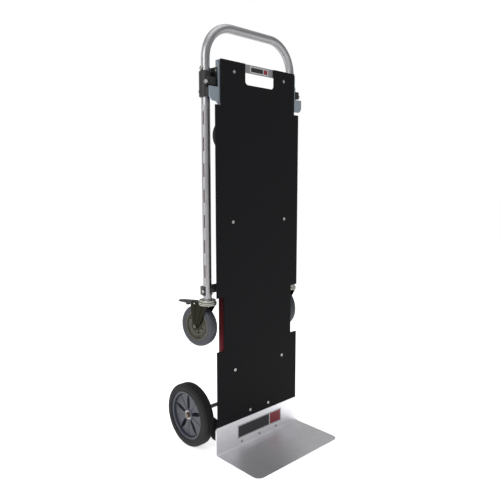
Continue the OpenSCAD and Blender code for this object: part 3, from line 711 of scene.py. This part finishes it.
class HANDTRUCK_OT_tyres(bpy.types.Operator):
    """Models the main tyres, with rounded shoulders and a ribbed tread"""
    bl_idname = "handtruck.tyres"
    bl_label = "Main tyres"

    def execute(self, context):
        low, high, middle = place("right_tyre")
        outer = (high.z - low.z) / 2
        half = (high.x - low.x) / 2
        inner = outer - 29 * MM
        shoulder = 13 * MM
        profile = [(-half, inner), (-half, inner + 4 * MM), (0.8 * MM - half, inner + 5 * MM),
                   (0.8 * MM - half, inner + 7 * MM), (-half, inner + 8 * MM)]
        profile += arc(shoulder - half, outer - shoulder, shoulder, 180, 90, 8)
        for groove in (-9 * MM, 0, 9 * MM):
            profile += [(groove - 1.2 * MM, outer), (groove - 0.8 * MM, outer - 2 * MM),
                        (groove + 0.8 * MM, outer - 2 * MM), (groove + 1.2 * MM, outer)]
        profile += [(-x, radius) for x, radius in reversed(
            arc(shoulder - half, outer - shoulder, shoulder, 180, 90, 8))]
        profile += [(half, inner + 8 * MM), (half - 0.8 * MM, inner + 7 * MM),
                    (half - 0.8 * MM, inner + 5 * MM), (half, inner + 4 * MM), (half, inner)]
        tyre = lathe("right_tyre_finish", profile, tuple(middle), 128)
        paint = rubber("main_tyre", tuple(context.scene.handtruck_finish.tyre_black))
        install(mirrored(tyre, "left_tyre_finish"), "left_wheel", ["left_tyre"],
                paint)
        install(tyre, "right_wheel", ["right_tyre"], paint)
        return {"FINISHED"}


class HANDTRUCK_OT_hubs(bpy.types.Operator):
    """Models the main hubs: a rim, a web, and five panels with a dark slot between them"""
    bl_idname = "handtruck.hubs"
    bl_label = "Main hubs"

    def execute(self, context):
        low, high, middle = place("right_hub")
        rim = (high.z - low.z) / 2
        half = (high.x - low.x) / 2
        bearing = 17 * MM
        boss = 25 * MM
        face = place("right_wheel_bearings")[1].x - middle.x
        web = face - 22 * MM
        well = rim - 9 * MM
        profile = [
            (-half, rim), (-half, well), (web - 5 * MM, well), (web - 5 * MM, boss),
            (-half + 2 * MM, boss), (-half + 2 * MM, bearing), (-half + 11 * MM, bearing),
            (-half + 11 * MM, 11 * MM), (face - 10 * MM, 11 * MM), (face - 10 * MM, bearing),
            (face, bearing), (face, boss - 2 * MM), (face - 2 * MM, boss), (web, boss + 2 * MM),
            (web, well - 2 * MM), (web + 2 * MM, well), (half - 3 * MM, well),
            (half - 1 * MM, well + 1.5 * MM), (half, well + 4 * MM), (half, rim)]
        hub = lathe("right_hub_finish", profile, tuple(middle), 96)
        shapes = [hub]
        panels = 5
        panel_depth, ridge_depth = 19.5 * MM, 20.6 * MM
        sweep = math.tau / panels
        inner, outer = boss - 1 * MM, well - 1.5 * MM
        for i in range(panels):
            lean = i * sweep + sweep / 2
            outline = []
            for side in (-1, 1):
                edge = [(inner, 0.34), (inner + 14 * MM, 0.345), (outer - 22 * MM, 0.40),
                        (outer - 4 * MM, 0.475)]
                rim_arc = [(outer, 0.46), (outer, 0.30), (outer, 0.15)]
                part = [(radius, side * share * sweep) for radius, share in edge + rim_arc]
                outline += part if side < 0 else [*reversed(part)]
            outline.insert(7, (outer, 0.0))
            outline = [(radius * math.sin(a + lean), radius * math.cos(a + lean))
                       for radius, a in outline]
            panel = plate("panel", outline, panel_depth, 1.2 * MM)
            settle(panel, (middle.x + web - 0.5 * MM, middle.y, middle.z))
            ridge = plate("ridge", [
                (y * math.cos(lean) + z * math.sin(lean), z * math.cos(lean) - y * math.sin(lean))
                for y, z in [(-3 * MM, inner), (-1.6 * MM, outer), (1.6 * MM, outer),
                             (3 * MM, inner)]], ridge_depth, 0.7 * MM)
            settle(ridge, (middle.x + web, middle.y, middle.z))
            shapes += [panel, ridge]
        hub = join(*shapes)
        paint = moulded("main_hub", tuple(context.scene.handtruck_finish.hub_grey))
        install(mirrored(hub, "left_hub_finish"), "left_wheel", ["left_hub"], paint)
        install(hub, "right_wheel", ["right_hub"], paint)
        return {"FINISHED"}


def caster_places(side):
    """The swivel's foot, the turn of the caster and the middle of its wheel."""
    joints = {joint["name"]: joint for joint in frame["joints"]}
    swivel = Vector(joints[f"{side}_caster_swivel"]["pos_m"])
    hub = Vector(joints[f"{side}_caster_spin"]["pos_m"])
    trail = hub - swivel
    return swivel, math.atan2(-trail.x, trail.y), hub


class HANDTRUCK_OT_caster_wheels(bpy.types.Operator):
    """Models the casters' treads and cores"""
    bl_idname = "handtruck.caster_wheels"
    bl_label = "Caster wheels"

    def execute(self, context):
        look = context.scene.handtruck_finish
        low, high, middle = place("right_caster_tread")
        outer = (high.z - low.z) / 2
        half = 18 * MM
        inner = outer - 22 * MM
        curve = 9 * MM
        side_arc = arc(curve - half, outer - curve - 1 * MM, curve, 180, 95, 7)
        crown = [(-5 * MM, outer - 0.15 * MM), (0, outer), (5 * MM, outer - 0.15 * MM)]
        profile = [(-half, inner), (-half, inner + 3 * MM), (0.6 * MM - half, inner + 3.8 * MM),
                   *side_arc, *crown, *[(-x, radius) for x, radius in reversed(side_arc)],
                   (half - 0.6 * MM, inner + 3.8 * MM), (half, inner + 3 * MM), (half, inner)]
        tread_paint = rubber("caster_tread", tuple(look.tread_grey), 0.5, 0.2)
        core_paint = moulded("caster_core", tuple(look.core_grey))
        tread = lathe("caster_tread_finish", profile, (0, 0, 0), 96)
        core_half = []
        for x, radius in [
                (20, 5.05), (20, 14), (19, 15.5), (10, 17), (7.5, 19), (7, 22), (7, 29),
                (8.5, 31), (11, 32.5), (11.5, 35), (11, 37.5), (8.5, 39), (7, 41), (7, 45),
                (9, 48), (14, 49.5), (16.3, 50.5), (17, 52), (17, 58)]:
            core_half.append((x * MM, radius * MM))
        core = lathe("caster_core_finish",
                     [*core_half, *[(-x, radius) for x, radius in reversed(core_half)]],
                     (0, 0, 0), 96)
        shapes = [core]
        ribs = 6
        rib_outline = [(-1.5 * MM, 15 * MM), (-1.2 * MM, 50 * MM),
                       (1.2 * MM, 50 * MM), (1.5 * MM, 15 * MM)]
        for i in range(ribs):
            for start in (-11 * MM, 6 * MM):
                rib = plate("rib", rib_outline, 5 * MM, 0.6 * MM)
                shapes.append(settle(rib, (start, 0, 0), (i * math.tau / ribs, 0, 0)))
        core = join(*shapes)
        for side in SIDES:
            swivel, turn, hub = caster_places(side)
            body = f"{side}_caster_wheel"
            for source, part, paint in ((tread, "caster_tread", tread_paint),
                                        (core, "caster_core", core_paint)):
                made = settle(twin(source, f"{side}_{part}_finish"), hub, (0, 0, turn))
                install(made, body, [f"{side}_{part}"], paint)
        for source in (tread, core):
            bpy.data.objects.remove(source)
        return {"FINISHED"}


class HANDTRUCK_OT_caster_forks(bpy.types.Operator):
    """Models the casters' pressed forks, their raceways and their brake pedals"""
    bl_idname = "handtruck.caster_forks"
    bl_label = "Caster forks and brakes"

    def execute(self, context):
        look = context.scene.handtruck_finish
        zinc = plated("caster_zinc", (0.42, 0.42, 0.40), 0.36)
        olive = plated("fork_zinc", tuple(look.fork_olive), 0.46)
        black = coated("pedal_coat", (0.007, 0.007, 0.008), 0.40, wear=0.02)
        refine_all(zinc, 0.9 * MM, both("caster_mount"))
        refine_all(black, 1.2 * MM, both("brake_pedal"))
        front_rib = [(8, 583), (17, 583), (40, 514), (32, 512)]
        back_rib = [(42, 582), (51, 582), (53, 520), (47, 516)]
        cup = [(-11.2, 30), (-11.2, 32.6), (-10.2, 33.6), (-7, 33.9), (-6.2, 32.8),
               (-5, 32.8), (-4.2, 34.2), (-1, 34.2), (0.1, 33.4), (0.1, 30)]
        for side in SIDES:
            swivel, turn, hub = caster_places(side)
            foot = Vector((swivel.x, swivel.y, 0))
            crown = place(f"{side}_caster_fork")[1].z
            shapes = [refined(f"{side}_caster_fork", 1.0 * MM)]
            for outline in (front_rib, back_rib):
                for x in (FORK_HALF - 0.4 * MM, -FORK_HALF - 1.4 * MM):
                    rib = plate("rib", [(y * MM, z * MM) for y, z in outline], 1.8 * MM,
                                0.8 * MM)
                    settle(rib, (x, 0, 0))
                    shapes.append(settle(rib, foot, (0, 0, turn)))
            install(join(*shapes), f"{side}_caster", [f"{side}_caster_fork"], olive)
            race = lathe(f"{side}_raceway", [(x * MM, radius * MM) for x, radius in cup],
                         (0, 0, 0), 72)
            settle(race, (swivel.x, swivel.y, crown), (0, -math.pi / 2, 0))
            install(race, f"{side}_caster", [], zinc)
        return {"FINISHED"}


class HANDTRUCK_OT_decals(bpy.types.Operator):
    """Prints plain bars on the decals and the legs' strips"""
    bl_idname = "handtruck.decals"
    bl_label = "Decals"

    def execute(self, context):
        red = tuple(context.scene.handtruck_finish.decal_red)
        low, high, middle = place("nose_decal")
        inset = 5 * MM
        red_share = 0.28
        split = high.x - red_share * (high.x - low.x)
        bars = [([("X", low.x + inset, split - 3 * MM), ("Z", low.z + inset, high.z - inset)],
                 (0.01, 0.01, 0.012)),
                ([("X", split + 3 * MM, high.x - inset), ("Z", low.z + inset, high.z - inset)],
                 red)]
        paint_node(plain_decal("nose_print", (0.45, 0.45, 0.47), bars), "nose_decal")
        low, high, middle = place("grip_decal")
        bars = [([("X", low.x + inset, middle.x + 20 * MM),
                  ("Z", low.z + 4 * MM, high.z - 4 * MM)], (0.012, 0.012, 0.012)),
                ([("X", middle.x + 24 * MM, high.x - inset),
                  ("Z", low.z + 4 * MM, high.z - 4 * MM)], red)]
        paint_node(plain_decal("grip_print", (0.42, 0.42, 0.43), bars), "grip_decal")
        # the rails' print gets the same painted shade towards the top
        paint_node(decal_with_painted_shade("rail_print", shade(red, 0.45), *RAIL_SHADE_HEIGHTS), "rail_decals")
        low, high, middle = place("leg_strips")
        paint_node(strip_paint(low.z, high.z), "leg_strips")
        return {"FINISHED"}


class HANDTRUCK_PT_panel(bpy.types.Panel):
    """Lists the hand truck's operators"""
    bl_idname = "HANDTRUCK_PT_panel"
    bl_label = "Hand Truck"
    bl_space_type = "VIEW_3D"
    bl_region_type = "UI"
    bl_category = "Hand Truck"

    def draw(self, context):
        for step in STEPS:
            self.layout.operator(step.bl_idname)
        for group in (context.scene.handtruck_stage, context.scene.handtruck_finish):
            for key in group.bl_rna.properties.keys():
                if key not in ("rna_type", "name"):
                    self.layout.prop(group, key)


STEPS = (
    HANDTRUCK_OT_frame, HANDTRUCK_OT_pivots, HANDTRUCK_OT_handle, HANDTRUCK_OT_fasteners,
    HANDTRUCK_OT_tyres, HANDTRUCK_OT_hubs, HANDTRUCK_OT_caster_wheels,
    HANDTRUCK_OT_caster_forks, HANDTRUCK_OT_decals, HANDTRUCK_OT_stage,
)
CLASSES = (StageSettings, FinishSettings, *STEPS, HANDTRUCK_PT_panel)


def register():
    for item in CLASSES:
        bpy.utils.register_class(item)
    bpy.types.Scene.handtruck_stage = PointerProperty(type=StageSettings)
    bpy.types.Scene.handtruck_finish = PointerProperty(type=FinishSettings)


def unregister():
    del bpy.types.Scene.handtruck_finish
    del bpy.types.Scene.handtruck_stage
    for item in reversed(CLASSES):
        bpy.utils.unregister_class(item)


def main():
    register()
    for step in STEPS:
        group, action = step.bl_idname.split(".")
        getattr(getattr(bpy.ops, group), action)()


if __name__ == "__main__":
    main()
